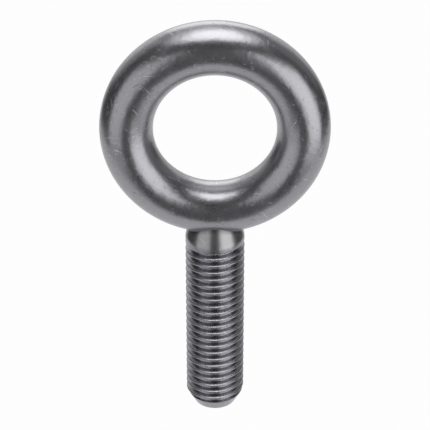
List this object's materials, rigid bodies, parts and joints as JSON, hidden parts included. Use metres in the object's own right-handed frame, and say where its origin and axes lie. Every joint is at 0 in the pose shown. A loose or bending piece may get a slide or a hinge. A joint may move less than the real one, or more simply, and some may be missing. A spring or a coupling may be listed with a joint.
{
  "type": "lifting eye bolt",
  "caption": "Lifting eye bolt: a closed round-bar eye welded to a short tapered neck and a fully threaded shank with a chamfered point.",
  "frame": {"origin": "on the shank's axis, at the height of the eye's lowest point, from which the shank's length is measured", "axes": "+Z along the shank's axis from the point up to the eye; Y runs through the hole of the eye; the eye lies in the XZ plane"},
  "size_m": [0.071, 0.0188, 0.1363],
  "materials": {
    "eye_steel": "bare forged steel, satin, finely scratched",
    "stud_steel": "bare machined steel, satin, with cut-thread tool marks",
    "weld_steel": "weld metal dressed flush and polished with the neck"
  },
  "bodies": {
    "root": {"eye_ring": "eye_steel", "threaded_stud": "stud_steel", "weld_bead": "weld_steel"}
  },
  "joints": []
}
